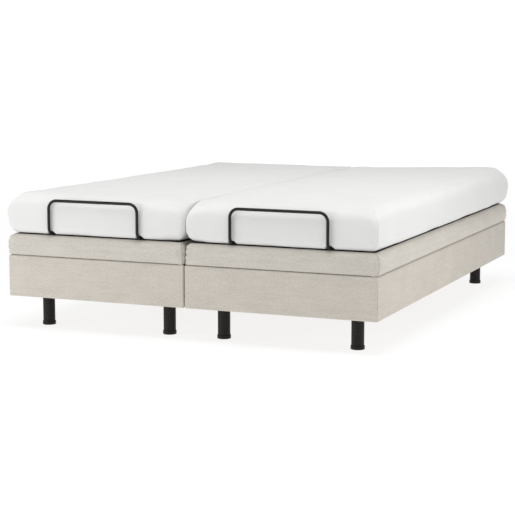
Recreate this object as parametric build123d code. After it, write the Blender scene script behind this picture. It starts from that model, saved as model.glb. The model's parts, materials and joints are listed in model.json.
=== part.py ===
from build123d import *
from math import acos, cos, radians, sin, tan
import os

# Split adjustable bed: two identical units side by side. Each unit is an upholstered box on
# legs, with a steel carrier inside it that holds a four-section deck, a dual drive and the
# lift shafts. Millimetres, +Z up, the sleeper's length along Y with the foot end at -Y. Every
# function works in one unit's own frame, with x = 0 on that unit's centre line.

# Unit and levels
UNIT_WIDTH = 796.0
UNIT_PITCH = 800.0
BOX_LENGTH = 2000.0
BOX_BOTTOM = 130.0
BOX_TOP = 300.0
DECK_BOTTOM = 303.0
DECK_TOP = 389.5
MATTRESS_BOTTOM = 390.0
MATTRESS_TOP = 548.0
MATTRESS_FOOT_Y = -998.0
MATTRESS_HEAD_Y = 1012.0
PLAN_CORNER_R = 45.0

# Folds of the deck
HINGE_Z = 283.0
BACK_HINGE_Y = 230.0
THIGH_HINGE_Y = -30.0
KNEE_Y = -380.0
FOLD_MARGIN = 0.5
BACK_FOLD_SHARES = (15.0 + FOLD_MARGIN, 45.0 + FOLD_MARGIN)
THIGH_FOLD_SHARES = (10.0 + FOLD_MARGIN, 25.0 + FOLD_MARGIN)

# Box
COVER_THICKNESS = 2.0
BOARD_THICKNESS = 18.0
BLOCK_INSET = 138.0
BLOCK_TOP = 165.0

# Legs
LEG_X = 280.0
LEG_Y = 883.0
LEG_R = 25.0
LEG_WALL = 3.0
CAP_R = 27.5
CAP_HEIGHT = 15.0
STUD_R = 5.0
STUD_TOP = 158.0
THREAD_CLEARANCE = 0.05

# Deck panels: plywood under the upholstery
PANEL_HALF_WIDTH = 380.0
PANEL_THICKNESS = 15.0
PANEL_END_Y = 985.0
BACK_PANEL_Y = 266.0
SEAT_PANEL_Y = (-22.0, 218.0)
THIGH_PANEL_Y = (-378.0, -48.0)
CALF_PANEL_Y = -382.0

# Carrier and rails: rectangular steel tube
TUBE_WALL = 2.0
CARRIER_X = (340.0, 370.0)
CARRIER_Z = (240.0, 280.0)
CARRIER_END_Y = 960.0
END_TUBE_WIDTH = 30.0
END_TUBE_TOP = 270.0
SEAT_TUBES_Y = ((20.0, 40.0), (165.0, 185.0))
POST_Y = (900.0, 930.0)
BOARD_BRACKETS_Y = (-600.0, 0.0, 600.0)
PLATE_X = (334.0, 340.0)
RAIL_X = (310.0, 330.0)
CALF_RAIL_X = (286.0, 306.0)
RAIL_Z = (278.0, 303.0)
RAIL_END_Y = 952.0
CROSS_WIDTH = 25.0
CHANNEL_WALL = 2.5
CHANNEL_START = 30.0
HUB_R = 14.0
PIVOT_R = 6.0
PIVOT_HEAD_R = 9.0
PIVOT_HEAD = 4.0
RUNNING_CLEARANCE = 0.05

# Lift shafts: each arm is as long as its shaft is from the fold's hinge, so the roller stays on
# a straight track through the hinge, and the shaft turns exactly twice as far as the section.
BACK_ARM = 165.0
BACK_ARM_TILT = 8.0
THIGH_ARM = 115.0
THIGH_ARM_TILT = 12.0
SHAFT_R = 15.0
SHAFT_BORE_R = 12.0
SHAFT_HALF = 328.0
JOURNAL_R = 10.0
JOURNAL_BORE_R = 7.5
JOURNAL_END = 339.5
ARM_X = (292.0, 300.0)
ARM_HUB_R = 22.0
ARM_TIP_R = 12.0
ROLLER_X = (270.0, 290.0)
ROLLER_R = 13.7
ROLLER_PIN_R = 5.0
ROLLER_PIN_HEAD_R = 8.0
TRACK_X = (266.0, 294.0)
TRACK_Z = (297.0, 303.0)
BACK_TRACK_Y = 330.0
THIGH_TRACK_Y = -170.0
BACK_CROSS_Y = (620.0, RAIL_END_Y - CROSS_WIDTH)
THIGH_CROSS_Y = -355.0
CALF_CROSS_Y = (-612.0, -RAIL_END_Y)

# Levers and drive
LEVER_R = 45.0
LEVER_X = (18.0, 24.0)
LEVER_TIP_R = 12.0
LEVER_PIN_R = 8.0
BACK_SWING = 120.0
THIGH_SWING = 70.0
SLIDER_HALF_WIDTH = 15.0
SLIDER_Z = (206.0, 241.0)
BACK_SLIDER_LENGTH = 130.0
THIGH_SLIDER_LENGTH = 100.0
BACK_SLIDER_GAP = 3.6
THIGH_SLIDER_GAP = 1.2
SLIDER_CLEARANCE = 0.5
DRIVE_Y = (-78.0, 330.0)
DRIVE_HALF_WIDTH = 60.0
DRIVE_Z = (165.0, 245.0)
DRIVE_HUMP_HALF_WIDTH = 40.0
DRIVE_CHANNELS_Y = ((-78.0, 0.0), (205.0, 330.0))
CHEEK_X = (34.0, 46.0)
CHEEK_R = 24.0
CHEEK_CLEARANCE = 0.08
MOTOR_R = 28.0
MOTOR_Y = ((-60.0, 90.0), (160.0, 310.0))
MOTOR_X = 75.0
MOTOR_Z = 200.0
INLET_Y = -40.0
INLET_Z = 228.0

# Mattress retainer bar at the foot end
BAR_R = 6.0
BAR_HALF_WIDTH = 200.0
BAR_Y = -1006.0
BAR_TOP_Z = 532.0
BAR_FOOT_Z = 396.5
BAR_FOOT_END_Y = -930.0
BAR_CORNER_R = 35.0
BAR_FOOT_BEND_R = 25.0
CLAMP_Y = (-975.0, -945.0)
CLAMP_HALF_WIDTH = 12.0
CLAMP_TOP = 405.0
BAR_RECESS_HALF_WIDTH = 14.0
BAR_RECESS_TOP = 416.0
BAR_RECESS_END_Y = -922.0

# Small shared pieces
BUFFER_R = 9.0
BUFFER_TOP = 277.5
BUFFER_Y = 945.0
LINK_HALF_LENGTH = 70.0
LINK_Y = (915.0, 955.0)
LINK_THICKNESS = 4.0
LINK_SCREW_X = 46.0
LINK_SCREW_R = 4.0


def block(x, y, z):
    """A box from three (low, high) pairs."""
    size = [span[1] - span[0] for span in (x, y, z)]
    centre = [(span[0] + span[1]) / 2 for span in (x, y, z)]
    return Pos(*centre) * Box(*size)


def rod_x(x, y, z, radius):
    """A round bar along X over the (low, high) pair x."""
    return Pos((x[0] + x[1]) / 2, y, z) * Rot(0, 90, 0) * Cylinder(radius, x[1] - x[0])


def rod_z(x, y, z, radius):
    """A round bar along Z over the (low, high) pair z."""
    return Pos(x, y, (z[0] + z[1]) / 2) * Cylinder(radius, z[1] - z[0])


def profile_x(points, x):
    """A (y, z) outline extruded over the (low, high) pair x."""
    face = Plane.YZ.offset(x[0]) * Polygon(*points, align=None)
    return extrude(face, x[1] - x[0], dir=(1, 0, 0))


def both(shape):
    """The shape and its mirror image on the unit's other side."""
    return [shape, mirror(shape, about=Plane.YZ)]


def tapered_link(a, b, a_radius, b_radius, x):
    """A flat link between two (y, z) centres, round at both ends with tangent edges."""
    dy, dz = b[0] - a[0], b[1] - a[1]
    length = (dy * dy + dz * dz) ** 0.5
    lean = acos((a_radius - b_radius) / length)
    outline = []
    for centre, radius, turns in ((a, a_radius, (-1, 1)), (b, b_radius, (1, -1))):
        for turn in turns:
            c, s = cos(turn * lean), sin(turn * lean)
            outline.append((centre[0] + radius * (dy * c - dz * s) / length,
                            centre[1] + radius * (dy * s + dz * c) / length))
    return profile_x(outline, x) + rod_x(x, *a, a_radius) + rod_x(x, *b, b_radius)


def hollow_bar(x, y, z, along):
    """Outer box of a rectangular tube, and the void inside it along 'x' or 'y'."""
    inner = {"x": x, "y": y, "z": z}
    for axis, span in (("x", x), ("y", y), ("z", z)):
        if axis != along:
            inner[axis] = (span[0] + TUBE_WALL, span[1] - TUBE_WALL)
    return block(x, y, z), block(inner["x"], inner["y"], inner["z"])


# ---- Box and legs -------------------------------------------------------------------------

OUT_X = UNIT_WIDTH / 2
OUT_Y = BOX_LENGTH / 2
BOARD_X = OUT_X - COVER_THICKNESS
BOARD_Y = OUT_Y - COVER_THICKNESS
INNER_X = BOARD_X - BOARD_THICKNESS
INNER_Y = BOARD_Y - BOARD_THICKNESS
BOARD_Z = (BOX_BOTTOM + COVER_THICKNESS, BOX_TOP - COVER_THICKNESS)


def box_boards():
    """Two side boards, and two end boards between them."""
    side = block((INNER_X, BOARD_X), (-BOARD_Y, BOARD_Y), BOARD_Z)
    end = block((-INNER_X, INNER_X), (INNER_Y, BOARD_Y), BOARD_Z)
    return both(side) + [end, mirror(end, about=Plane.XZ)]


def box_cover():
    """Fabric sleeve round the boards, turned in over their top and bottom edges."""
    outer = block((-OUT_X, OUT_X), (-OUT_Y, OUT_Y), (BOX_BOTTOM, BOX_TOP))
    boards = block((-BOARD_X, BOARD_X), (-BOARD_Y, BOARD_Y), BOARD_Z)
    opening = block((-INNER_X, INNER_X), (-INNER_Y, INNER_Y), (BOX_BOTTOM - 1, BOX_TOP + 1))
    return [outer - boards - opening]


def at_legs(make):
    """make(x, y, x_sign, y_sign) at each of the unit's four legs."""
    return [make(sx * LEG_X, sy * LEG_Y, sx, sy) for sx in (-1, 1) for sy in (-1, 1)]


def corner_block(x, y, x_sign, y_sign):
    x_span = sorted((x_sign * INNER_X, x_sign * (INNER_X - BLOCK_INSET)))
    y_span = sorted((y_sign * INNER_Y, y_sign * (INNER_Y - BLOCK_INSET)))
    hole = rod_z(x, y, (BOX_BOTTOM - 1, BLOCK_TOP + 1), STUD_R + THREAD_CLEARANCE)
    return block(x_span, y_span, (BOX_BOTTOM, BLOCK_TOP)) - hole


def leg(x, y, x_sign, y_sign):
    tube = rod_z(x, y, (CAP_HEIGHT, BOX_BOTTOM), LEG_R)
    bore = rod_z(x, y, (CAP_HEIGHT - 1, BOX_BOTTOM - 2 * LEG_WALL), LEG_R - LEG_WALL)
    return tube - bore + rod_z(x, y, (BOX_BOTTOM - LEG_WALL, STUD_TOP), STUD_R)


def leg_cap(x, y, x_sign, y_sign):
    base = chamfer(rod_z(x, y, (0, CAP_HEIGHT), CAP_R).edges(), 1.2)
    return base + rod_z(x, y, (CAP_HEIGHT - 2, 2 * CAP_HEIGHT), LEG_R - LEG_WALL - THREAD_CLEARANCE)


# ---- Deck sections ------------------------------------------------------------------------

def fold_face(hinge_y, share, direction):
    """Face of a soft block at a fold: a plane through the hinge, leaning by share degrees."""
    return lambda z: hinge_y + direction * (z - HINGE_Z) * tan(radians(share))


def flat_face(y):
    return lambda z: y


def section_faces(foot_y, head_y):
    """The foot-side and head-side faces of the soft blocks on each section."""
    return {
        "calf": (flat_face(foot_y), flat_face(KNEE_Y - FOLD_MARGIN)),
        "thigh": (flat_face(KNEE_Y + FOLD_MARGIN), fold_face(THIGH_HINGE_Y, THIGH_FOLD_SHARES[1], -1)),
        "seat": (fold_face(THIGH_HINGE_Y, THIGH_FOLD_SHARES[0], 1),
                 fold_face(BACK_HINGE_Y, BACK_FOLD_SHARES[0], -1)),
        "back": (fold_face(BACK_HINGE_Y, BACK_FOLD_SHARES[1], 1), flat_face(head_y)),
    }


PANEL_SPANS = {
    "calf": (-PANEL_END_Y, CALF_PANEL_Y),
    "thigh": THIGH_PANEL_Y,
    "seat": SEAT_PANEL_Y,
    "back": (BACK_PANEL_Y, PANEL_END_Y),
}


def panel(section):
    span = PANEL_SPANS[section]
    return block((-PANEL_HALF_WIDTH, PANEL_HALF_WIDTH), span, (DECK_BOTTOM, DECK_BOTTOM + PANEL_THICKNESS))


def soft_block(faces, z, end_y):
    """A padded block between two faces, with its plan corners rounded where it ends the bed."""
    near, far = faces
    outline = [(near(z[0]), z[0]), (far(z[0]), z[0]), (far(z[1]), z[1]), (near(z[1]), z[1])]
    solid = profile_x(outline, (-OUT_X, OUT_X))
    corners = [e for e in solid.edges().filter_by(Axis.Z) if abs(e.center().Y - end_y) < 1]
    return fillet(corners, PLAN_CORNER_R) if corners else solid


def pad(section):
    """Upholstery of a deck section: it wraps the panel's edges down to its underside."""
    faces = section_faces(-OUT_Y, OUT_Y)[section]
    end_y = {"calf": -OUT_Y, "back": OUT_Y}.get(section, 2 * OUT_Y)
    return soft_block(faces, (DECK_BOTTOM, DECK_TOP), end_y) - panel(section)


def mattress(section):
    faces = section_faces(MATTRESS_FOOT_Y, MATTRESS_HEAD_Y)[section]
    end_y = {"calf": MATTRESS_FOOT_Y, "back": MATTRESS_HEAD_Y}.get(section, 2 * OUT_Y)
    solid = soft_block(faces, (MATTRESS_BOTTOM, MATTRESS_TOP), end_y)
    if section == "calf":
        for x in (-BAR_HALF_WIDTH, BAR_HALF_WIDTH):
            solid -= block((x - BAR_RECESS_HALF_WIDTH, x + BAR_RECESS_HALF_WIDTH),
                           (MATTRESS_FOOT_Y - 1, BAR_RECESS_END_Y),
                           (MATTRESS_BOTTOM - 1, BAR_RECESS_TOP))
    return solid


# ---- Rails under the sections -------------------------------------------------------------

def fold_rail(hinge_y, direction, end_y, x):
    """Side rail from its hinge to end_y, relieved at the hinge so that it clears the seat."""
    low, top = RAIL_Z
    relief = [(0, low), (0, HINGE_Z + 13), (14, HINGE_Z + 13), (24, top)]
    outline = [(hinge_y + direction * d, z) for d, z in relief] + [(end_y, top), (end_y, low)]
    return profile_x(outline, x) + rod_x(x, hinge_y, HINGE_Z, HUB_R)


def channel_pocket(x, y):
    """What is cut from a side rail's inner face to make it a channel section."""
    return block((x[0] - 1, x[1] - CHANNEL_WALL), y, (RAIL_Z[0] + CHANNEL_WALL, RAIL_Z[1] - CHANNEL_WALL))


def cross_tube(y, rail_x):
    """Square tube between the webs of two side rails."""
    reach = rail_x[1] - CHANNEL_WALL
    solid, void = hollow_bar((-reach, reach), (y, y + CROSS_WIDTH), RAIL_Z, "x")
    return solid - void


def pivot_hole(y):
    reach = CARRIER_X[1]
    return rod_x((-reach, reach), y, HINGE_Z, PIVOT_R + RUNNING_CLEARANCE)


def track(start_y, end_y):
    """Steel strip under the panel that the lift roller runs along."""
    return block(TRACK_X, sorted((start_y, end_y)), TRACK_Z)


def back_rails():
    rail = fold_rail(BACK_HINGE_Y, 1, RAIL_END_Y, RAIL_X)
    rail -= channel_pocket(RAIL_X, (BACK_HINGE_Y + CHANNEL_START, RAIL_END_Y + 1))
    rail += track(BACK_TRACK_Y, BACK_CROSS_Y[0])
    frame = sum(both(rail), Part())
    for y in BACK_CROSS_Y:
        frame += cross_tube(y, RAIL_X)
    return frame - pivot_hole(BACK_HINGE_Y)


def thigh_rails():
    """Thigh side rails, which also carry the knee pins for the calf rails."""
    rail = fold_rail(THIGH_HINGE_Y, -1, KNEE_Y, RAIL_X)
    rail -= channel_pocket(RAIL_X, (KNEE_Y + CHANNEL_START, THIGH_HINGE_Y - CHANNEL_START))
    rail += track(THIGH_TRACK_Y, THIGH_CROSS_Y + CROSS_WIDTH)
    knee_pin = rod_x((CALF_RAIL_X[0] - 2, RAIL_X[0] + 1), KNEE_Y, HINGE_Z, PIVOT_R)
    head_x = (CALF_RAIL_X[0] - 2 - PIVOT_HEAD, CALF_RAIL_X[0] - 2)
    knee_pin += rod_x(head_x, KNEE_Y, HINGE_Z, PIVOT_HEAD_R)
    rail += rod_x(RAIL_X, KNEE_Y, HINGE_Z, HUB_R) + knee_pin
    frame = sum(both(rail), Part()) + cross_tube(THIGH_CROSS_Y, RAIL_X)
    return frame - pivot_hole(THIGH_HINGE_Y)


def calf_rails():
    rail = block(CALF_RAIL_X, (-RAIL_END_Y, KNEE_Y), RAIL_Z)
    rail -= channel_pocket(CALF_RAIL_X, (-RAIL_END_Y - 1, KNEE_Y - CHANNEL_START))
    rail += rod_x(CALF_RAIL_X, KNEE_Y, HINGE_Z, HUB_R)
    frame = sum(both(rail), Part())
    for y in CALF_CROSS_Y:
        frame += cross_tube(y, CALF_RAIL_X)
    return frame - pivot_hole(KNEE_Y)


# ---- Carrier ------------------------------------------------------------------------------

def lift_shaft_centre(hinge_y, arm, tilt, direction):
    """(y, z) of a lift shaft: one arm's length from the hinge, below the hinge's level."""
    return (hinge_y + direction * arm * cos(radians(tilt)), HINGE_Z - arm * sin(radians(tilt)))


BACK_SHAFT = lift_shaft_centre(BACK_HINGE_Y, BACK_ARM, BACK_ARM_TILT, 1)
THIGH_SHAFT = lift_shaft_centre(THIGH_HINGE_Y, THIGH_ARM, THIGH_ARM_TILT, -1)


def carrier_tubes():
    side_x, side_z = CARRIER_X, CARRIER_Z
    bars = [hollow_bar(side_x, (-CARRIER_END_Y, CARRIER_END_Y), side_z, "y"),
            hollow_bar((-side_x[1], -side_x[0]), (-CARRIER_END_Y, CARRIER_END_Y), side_z, "y")]
    reach = side_x[1] - TUBE_WALL
    for y in (-CARRIER_END_Y, CARRIER_END_Y - END_TUBE_WIDTH):
        bars.append(hollow_bar((-reach, reach), (y, y + END_TUBE_WIDTH), (side_z[0], END_TUBE_TOP), "x"))
    outer = sum((bar[0] for bar in bars), Part())
    for bar in bars:
        outer -= bar[1]
    for y in SEAT_TUBES_Y:
        solid, void = hollow_bar((-side_x[1], side_x[1]), y, (side_z[1], DECK_BOTTOM), "x")
        outer += solid - void
    return outer


def pivot_stud(y):
    """Hinge plate on the carrier's inner side, with a headed pivot stud for a section rail."""
    plate = block(PLATE_X, (y - 18, y + 18), (CARRIER_Z[0], HINGE_Z + PIVOT_HEAD_R + 3))
    stud = rod_x((RAIL_X[0] - 2, PLATE_X[0] + 1), y, HINGE_Z, PIVOT_R)
    head = rod_x((RAIL_X[0] - 2 - PIVOT_HEAD, RAIL_X[0] - 2), y, HINGE_Z, PIVOT_HEAD_R)
    return plate + stud + head


def shaft_bearing(centre):
    y, z = centre
    plate = block(PLATE_X, (y - 22, y + 22), (z - 22, CARRIER_Z[1]))
    return plate - rod_x((PLATE_X[0] - 1, PLATE_X[1] + 1), y, z, JOURNAL_R + RUNNING_CLEARANCE)


def carrier_frame():
    """Welded carrier: side and end tubes, seat tubes, posts, brackets, hinges and bearings."""
    fittings = [pivot_stud(BACK_HINGE_Y), pivot_stud(THIGH_HINGE_Y),
                shaft_bearing(BACK_SHAFT), shaft_bearing(THIGH_SHAFT)]
    for y in BOARD_BRACKETS_Y:
        fittings.append(block((CARRIER_X[1], INNER_X), (y - 30, y + 30), (245, 275)))
    post = block(CARRIER_X, POST_Y, (BLOCK_TOP, CARRIER_Z[0]))
    fittings += [post, mirror(post, about=Plane.XZ)]
    frame = carrier_tubes()
    for fitting in fittings:
        for side in both(fitting):
            frame += side
    return frame


# ---- Lift shafts and drive ----------------------------------------------------------------

def polar(centre, radius, angle, direction):
    """(y, z) at radius and angle from centre, the angle measured up from the lifting side."""
    return (centre[0] + direction * radius * cos(radians(angle)),
            centre[1] + radius * sin(radians(angle)))


def lift_shaft(centre, arm, tilt, swing, direction):
    """Torque tube with two lift arms, two levers and their pin, and a journal at each end."""
    y, z = centre
    tip = polar(centre, arm, tilt, direction)
    shaft = rod_x((-SHAFT_HALF, SHAFT_HALF), y, z, SHAFT_R)
    shaft += rod_x((-JOURNAL_END, JOURNAL_END), y, z, JOURNAL_R)
    shaft -= rod_x((-JOURNAL_END - 1, JOURNAL_END + 1), y, z, JOURNAL_BORE_R)
    shaft -= rod_x((-SHAFT_HALF + TUBE_WALL, SHAFT_HALF - TUBE_WALL), y, z, SHAFT_BORE_R)
    bore = rod_x((-SHAFT_HALF, SHAFT_HALF), y, z, SHAFT_R - 1)
    pin = rod_x((ROLLER_X[0] - 2, ARM_X[0] + 1), *tip, ROLLER_PIN_R)
    pin += rod_x((ROLLER_X[0] - 2 - PIVOT_HEAD, ROLLER_X[0] - 2), *tip, ROLLER_PIN_HEAD_R)
    arm_plate = tapered_link(centre, tip, ARM_HUB_R, ARM_TIP_R, ARM_X) - bore
    lever_tip = polar(centre, LEVER_R, -90 - swing / 2, direction)
    lever = tapered_link(centre, lever_tip, ARM_HUB_R, LEVER_TIP_R, LEVER_X) - bore
    for piece in both(arm_plate) + both(pin) + both(lever):
        shaft += piece
    return shaft + rod_x((-LEVER_X[0] - 1, LEVER_X[0] + 1), *lever_tip, LEVER_PIN_R)


def lift_rollers(centre, arm, tilt, direction):
    tip = polar(centre, arm, tilt, direction)
    wheel = rod_x(ROLLER_X, *tip, ROLLER_R)
    wheel -= rod_x((ROLLER_X[0] - 1, ROLLER_X[1] + 1), *tip, ROLLER_PIN_R + RUNNING_CLEARANCE)
    return both(wheel)


def slider(centre, swing, direction, length, gap):
    """Block that the drive's screw pushes outwards against the lever pin."""
    pin_y = polar(centre, LEVER_R, -90 - swing / 2, direction)[0]
    face = pin_y - direction * (LEVER_PIN_R + gap)
    span = sorted((face, face - direction * length))
    return block((-SLIDER_HALF_WIDTH, SLIDER_HALF_WIDTH), span, SLIDER_Z)


def drive_cheek(centre, direction):
    """Ear of the drive housing that hooks round a lift shaft."""
    root = (centre[0] - direction * 90, centre[1] - 6)
    ear = tapered_link(root, centre, CHEEK_R, CHEEK_R, CHEEK_X)
    return ear - rod_x((CHEEK_X[0] - 1, CHEEK_X[1] + 1), *centre, SHAFT_R + CHEEK_CLEARANCE)


def drive_housing():
    body = block((-DRIVE_HALF_WIDTH, DRIVE_HALF_WIDTH), DRIVE_Y, DRIVE_Z)
    body = chamfer(body.edges().filter_by(Axis.Y), 8)
    hump_y = (SEAT_TUBES_Y[0][0] - 8, SEAT_TUBES_Y[1][1] + 8)
    body += block((-DRIVE_HUMP_HALF_WIDTH, DRIVE_HUMP_HALF_WIDTH), hump_y, (DRIVE_Z[1] - 5, CARRIER_Z[1]))
    for side, span in zip((-1, 1), MOTOR_Y):
        motor = Pos(side * MOTOR_X, sum(span) / 2, MOTOR_Z) * Rot(90, 0, 0)
        body += motor * Cylinder(MOTOR_R, span[1] - span[0])
    channel_x = SLIDER_HALF_WIDTH + SLIDER_CLEARANCE
    channel_z = (SLIDER_Z[0] - SLIDER_CLEARANCE, SLIDER_Z[1] + SLIDER_CLEARANCE)
    for low, high in DRIVE_CHANNELS_Y:
        body -= block((-channel_x, channel_x), (low - 1, high + 1), channel_z)
    for centre, direction in ((BACK_SHAFT, 1), (THIGH_SHAFT, -1)):
        for ear in both(drive_cheek(centre, direction)):
            body += ear
    return body


def mains_inlet():
    """Two-pole appliance inlet on the drive's side, with its two contact pins."""
    x, depth = DRIVE_HALF_WIDTH, 14
    shell = block((x, x + depth), (INLET_Y - 13, INLET_Y + 13), (INLET_Z - 8, INLET_Z + 8))
    shell -= block((x + 4, x + depth + 1), (INLET_Y - 9.5, INLET_Y + 9.5), (INLET_Z - 5, INLET_Z + 5))
    for y in (INLET_Y - 4.3, INLET_Y + 4.3):
        shell += rod_x((x + 3, x + depth - 1), y, INLET_Z, 1.2)
    return shell


# ---- Mattress retainer --------------------------------------------------------------------

def retainer_bar():
    """One bent rod: up in front of the mattress, across, and down, its feet under the mattress."""
    half, y = BAR_HALF_WIDTH, BAR_Y
    corners = [(-half, BAR_FOOT_END_Y, BAR_FOOT_Z), (-half, y, BAR_FOOT_Z), (-half, y, BAR_TOP_Z),
               (half, y, BAR_TOP_Z), (half, y, BAR_FOOT_Z), (half, BAR_FOOT_END_Y, BAR_FOOT_Z)]
    bends = [BAR_FOOT_BEND_R, BAR_CORNER_R, BAR_CORNER_R, BAR_FOOT_BEND_R]
    path = FilletPolyline(*corners, radius=bends)
    start = Plane(origin=corners[0], z_dir=(0, -1, 0))
    return sweep(start * Circle(BAR_R), path=path)


def bar_clamps():
    """Saddle clamps that hold the bar's feet down on the deck."""
    span = (BAR_HALF_WIDTH - CLAMP_HALF_WIDTH, BAR_HALF_WIDTH + CLAMP_HALF_WIDTH)
    clamp = block(span, CLAMP_Y, (DECK_TOP, CLAMP_TOP))
    hole = Pos(BAR_HALF_WIDTH, sum(CLAMP_Y) / 2, BAR_FOOT_Z) * Rot(90, 0, 0)
    clamp -= hole * Cylinder(BAR_R + THREAD_CLEARANCE, CLAMP_Y[1] - CLAMP_Y[0] + 2)
    return both(clamp)


# ---- Shared pieces ------------------------------------------------------------------------

def rest_buffers():
    """Rubber buffers on the carrier's end tubes, which the flat deck's rails rest on."""
    buffers = []
    for rail_x, y in ((RAIL_X, BUFFER_Y), (CALF_RAIL_X, -BUFFER_Y)):
        buffers += both(rod_z(sum(rail_x) / 2, y, (END_TUBE_TOP, BUFFER_TOP), BUFFER_R))
    return buffers


def link_plates():
    """Steel plates and screws that join the two boxes, under their corner blocks."""
    plates = []
    low = BOX_BOTTOM - LINK_THICKNESS
    for sign in (-1, 1):
        y = sorted((sign * LINK_Y[0], sign * LINK_Y[1]))
        plate = block((-LINK_HALF_LENGTH, LINK_HALF_LENGTH), y, (low, BOX_BOTTOM))
        for x in (-LINK_SCREW_X, LINK_SCREW_X):
            plate += rod_z(x, sum(y) / 2, (low - 2.5, low + 1), 2 * LINK_SCREW_R)
        plates.append(plate)
    return plates


# ---- Export -------------------------------------------------------------------------------

def unit_nodes():
    """Every piece of one unit that has its own node."""
    nodes = {
        "box_boards": box_boards(),
        "box_cover": box_cover(),
        "carrier_frame": [carrier_frame()],
        "drive_housing": [drive_housing()],
        "back_rails": [back_rails()],
        "thigh_rails": [thigh_rails()],
        "calf_rails": [calf_rails()],
        "back_lift_shaft": [lift_shaft(BACK_SHAFT, BACK_ARM, BACK_ARM_TILT, BACK_SWING, 1)],
        "thigh_lift_shaft": [lift_shaft(THIGH_SHAFT, THIGH_ARM, THIGH_ARM_TILT, THIGH_SWING, -1)],
        "back_lift_rollers": lift_rollers(BACK_SHAFT, BACK_ARM, BACK_ARM_TILT, 1),
        "thigh_lift_rollers": lift_rollers(THIGH_SHAFT, THIGH_ARM, THIGH_ARM_TILT, -1),
        "back_slider": [slider(BACK_SHAFT, BACK_SWING, 1, BACK_SLIDER_LENGTH, BACK_SLIDER_GAP)],
        "thigh_slider": [slider(THIGH_SHAFT, THIGH_SWING, -1, THIGH_SLIDER_LENGTH, THIGH_SLIDER_GAP)],
        "retainer_bar": [retainer_bar()],
        "bar_clamps": bar_clamps(),
    }
    for section in PANEL_SPANS:
        nodes[section + "_panel"] = [panel(section)]
        nodes[section + "_pad"] = [pad(section)]
        nodes[section + "_mattress"] = [mattress(section)]
    return nodes


def unit_pieces_shared_by_node():
    """Small identical pieces of one unit, which share a node with the other unit's."""
    return {
        "corner_blocks": at_legs(corner_block),
        "legs": at_legs(leg),
        "leg_caps": at_legs(leg_cap),
        "rest_buffers": rest_buffers(),
        "mains_inlets": [mains_inlet()],
    }


def write(name, pieces):
    solids = [solid for piece in pieces for solid in piece.solids()]
    export_step(solids[0] if len(solids) == 1 else Compound(children=solids), f"parts/{name}.step")


def main():
    os.makedirs("parts", exist_ok=True)
    unit_x = {"left": -UNIT_PITCH / 2, "right": UNIT_PITCH / 2}
    for name, pieces in unit_nodes().items():
        for side, x in unit_x.items():
            write(f"{side}_{name}", [Pos(x, 0, 0) * piece for piece in pieces])
    for name, pieces in unit_pieces_shared_by_node().items():
        write(name, [Pos(x, 0, 0) * piece for x in unit_x.values() for piece in pieces])
    write("link_plates", link_plates())


main()
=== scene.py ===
import json
import math

import bmesh
import bpy
import numpy as np
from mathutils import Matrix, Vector, noise


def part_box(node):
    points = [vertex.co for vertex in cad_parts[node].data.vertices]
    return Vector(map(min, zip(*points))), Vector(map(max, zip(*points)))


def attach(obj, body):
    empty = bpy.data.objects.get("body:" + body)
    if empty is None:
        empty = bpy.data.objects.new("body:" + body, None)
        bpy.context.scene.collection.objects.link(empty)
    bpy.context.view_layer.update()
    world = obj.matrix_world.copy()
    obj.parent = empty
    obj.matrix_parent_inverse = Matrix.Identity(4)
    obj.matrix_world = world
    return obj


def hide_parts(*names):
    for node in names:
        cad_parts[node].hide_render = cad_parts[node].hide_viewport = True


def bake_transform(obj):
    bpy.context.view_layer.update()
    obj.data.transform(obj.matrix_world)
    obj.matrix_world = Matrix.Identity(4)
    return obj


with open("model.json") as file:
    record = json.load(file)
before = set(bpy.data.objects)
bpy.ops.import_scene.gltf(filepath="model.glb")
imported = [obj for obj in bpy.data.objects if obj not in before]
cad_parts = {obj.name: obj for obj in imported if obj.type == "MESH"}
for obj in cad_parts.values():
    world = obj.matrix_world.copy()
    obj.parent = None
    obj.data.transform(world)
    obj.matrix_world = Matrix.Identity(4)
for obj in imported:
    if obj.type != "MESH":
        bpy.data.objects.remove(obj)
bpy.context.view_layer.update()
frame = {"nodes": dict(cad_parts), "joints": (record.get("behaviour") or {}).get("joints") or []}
NODES = frame["nodes"]
SIDES = {"left": -1, "right": 1}

# ---- Where things are, read from the frame -------------------------------------------------

UNIT_X = {side: sum(c.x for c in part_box(f"{side}_box_cover")) / 2 for side in SIDES}
COVER_LOW, COVER_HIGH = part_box("right_box_cover")
DECK_LOW = min((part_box(f"right_{part}_pad")[0] for part in ("calf", "back")), key=lambda c: c.y)
DECK_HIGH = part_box("right_back_pad")[1]
MATTRESS_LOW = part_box("right_calf_mattress")[0]
MATTRESS_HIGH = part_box("right_back_mattress")[1]
CLAMP_LOW, CLAMP_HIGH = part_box("right_bar_clamps")
BAR_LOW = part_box("right_retainer_bar")[0]
PANEL_LOW, PANEL_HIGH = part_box("right_calf_panel")
HALF_WIDTH = (COVER_HIGH.x - COVER_LOW.x) / 2
POCKET_X, POCKET_Y = PANEL_HIGH.x - UNIT_X["right"], abs(PANEL_LOW.y)
BAR_THICKNESS, CLAMP_WIDTH = 0.012, 0.024
CLAMP_X = UNIT_X["right"] - (CLAMP_LOW.x + CLAMP_WIDTH / 2)

BACK_LIFT = next(joint for joint in frame["joints"] if joint["name"] == "right_back_lift")
BACK_HINGE_Y = BACK_LIFT["pos_m"][1]
BACK_TRAVEL = math.radians(BACK_LIFT["range_deg"][1])

# Where along the bed (y) the soft pieces bend, and where they are cut: each cut is at a place that
# follows one body only, so it never opens.
BACK_BEND = (0.110, 0.530)
THIGH_BEND = (0.060, -0.230)
KNEE_BEND = (-0.290, -0.470)
SEAT_CUT = 0.085
THIGH_CUT = -0.260
BEYOND = 9      # metres along the bed, past both its ends


# ---- Node helpers --------------------------------------------------------------------------

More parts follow.
